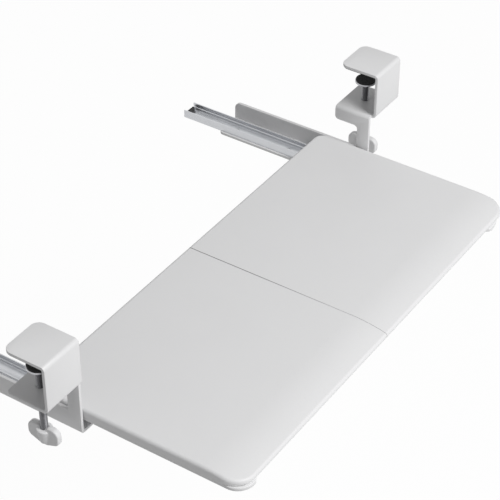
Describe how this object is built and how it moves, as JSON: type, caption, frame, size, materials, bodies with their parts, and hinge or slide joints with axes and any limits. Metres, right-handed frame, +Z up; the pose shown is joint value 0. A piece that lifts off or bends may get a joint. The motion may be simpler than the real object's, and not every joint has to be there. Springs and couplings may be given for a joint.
{
  "type": "keyboard tray under desk",
  "caption": "Sliding keyboard tray that hangs under a desk from screw clamps on its front edge, with ball slides and wing knobs.",
  "frame": {"origin": "middle of the desk's top front edge, halfway between the two clamps", "axes": "+X along the desk edge to the user's right, +Y from the user into the space under the desk, +Z up"},
  "size_m": [0.8326, 0.5454, 0.1647],
  "materials": {
    "bracket_steel": "satin powder coat, light grey",
    "clamp_pad": "matt",
    "zinc_steel": "bright zinc",
    "screw_steel": "dark zinc",
    "cup_steel": "turned, zinc plated",
    "foot_rubber": "matt",
    "knob_plastic": "fine moulded grain, light grey",
    "rail_steel": "bright zinc",
    "cage_steel": "bright",
    "ball_steel": "polished",
    "bumper_rubber": "matt",
    "tray_plastic": "fine moulded grain, light grey",
    "base_plastic": "fine moulded grain, light grey",
    "dowel_plastic": "matt",
    "bar_steel": "satin black",
    "black_screw": "black zinc"
  },
  "bodies": {
    "brackets": {"left_bracket": "bracket_steel", "right_bracket": "bracket_steel", "left_top_pad": "clamp_pad", "right_top_pad": "clamp_pad", "left_weld_nut": "zinc_steel", "right_weld_nut": "zinc_steel", "left_outer_rail": "rail_steel", "right_outer_rail": "rail_steel", "left_rail_bumper": "bumper_rubber", "right_rail_bumper": "bumper_rubber", "rail_shelf_screws": "zinc_steel"},
    "tray": {"left_tray_shell": "tray_plastic", "right_tray_shell": "tray_plastic", "left_base_pan": "base_plastic", "right_base_pan": "base_plastic", "left_inner_rail": "rail_steel", "right_inner_rail": "rail_steel", "seam_dowels": "dowel_plastic", "joining_bars": "bar_steel", "rail_tray_screws": "zinc_steel", "base_screws": "black_screw", "bar_screws": "black_screw"},
    "left_cage": {"left_ball_cage": "cage_steel", "left_cage_balls": "ball_steel"},
    "left_foot": {"left_swivel_cup": "cup_steel", "left_foot_rubber": "foot_rubber"},
    "left_screw": {"left_clamp_screw": "screw_steel", "left_wing_knob": "knob_plastic"},
    "right_cage": {"right_ball_cage": "cage_steel", "right_cage_balls": "ball_steel"},
    "right_foot": {"right_swivel_cup": "cup_steel", "right_foot_rubber": "foot_rubber"},
    "right_screw": {"right_clamp_screw": "screw_steel", "right_wing_knob": "knob_plastic"}
  },
  "joints": [
    {"name": "tray_slide", "type": "slide", "parent": "brackets", "child": "tray", "axis": [0, 1, 0], "range_m": [0, 0.23]},
    {"name": "left_cage_slide", "type": "slide", "parent": "brackets", "child": "left_cage", "axis": [0, 1, 0], "range_m": [0, 0.115]},
    {"name": "left_foot_slide", "type": "slide", "parent": "brackets", "child": "left_foot", "axis": [0, 0, 1], "range_m": [-0.022, 0.02]},
    {"name": "left_screw_turn", "type": "hinge", "parent": "left_foot", "child": "left_screw", "pos_m": [-0.38345, 0.0335, -0.0383], "axis": [0, 0, 1], "range_deg": [-5290, 4810]},
    {"name": "right_cage_slide", "type": "slide", "parent": "brackets", "child": "right_cage", "axis": [0, 1, 0], "range_m": [0, 0.115]},
    {"name": "right_foot_slide", "type": "slide", "parent": "brackets", "child": "right_foot", "axis": [0, 0, 1], "range_m": [-0.022, 0.02]},
    {"name": "right_screw_turn", "type": "hinge", "parent": "right_foot", "child": "right_screw", "pos_m": [0.38345, 0.0335, -0.0383], "axis": [0, 0, 1], "range_deg": [-5290, 4810]}
  ],
  "couplings": [
    {"joint": "left_cage_slide", "follows": "tray_slide", "ratio": 0.5},
    {"joint": "left_screw_turn", "follows": "left_foot_slide", "rad_per_m": 4188.8},
    {"joint": "right_cage_slide", "follows": "tray_slide", "ratio": 0.5},
    {"joint": "right_screw_turn", "follows": "right_foot_slide", "rad_per_m": 4188.8}
  ]
}
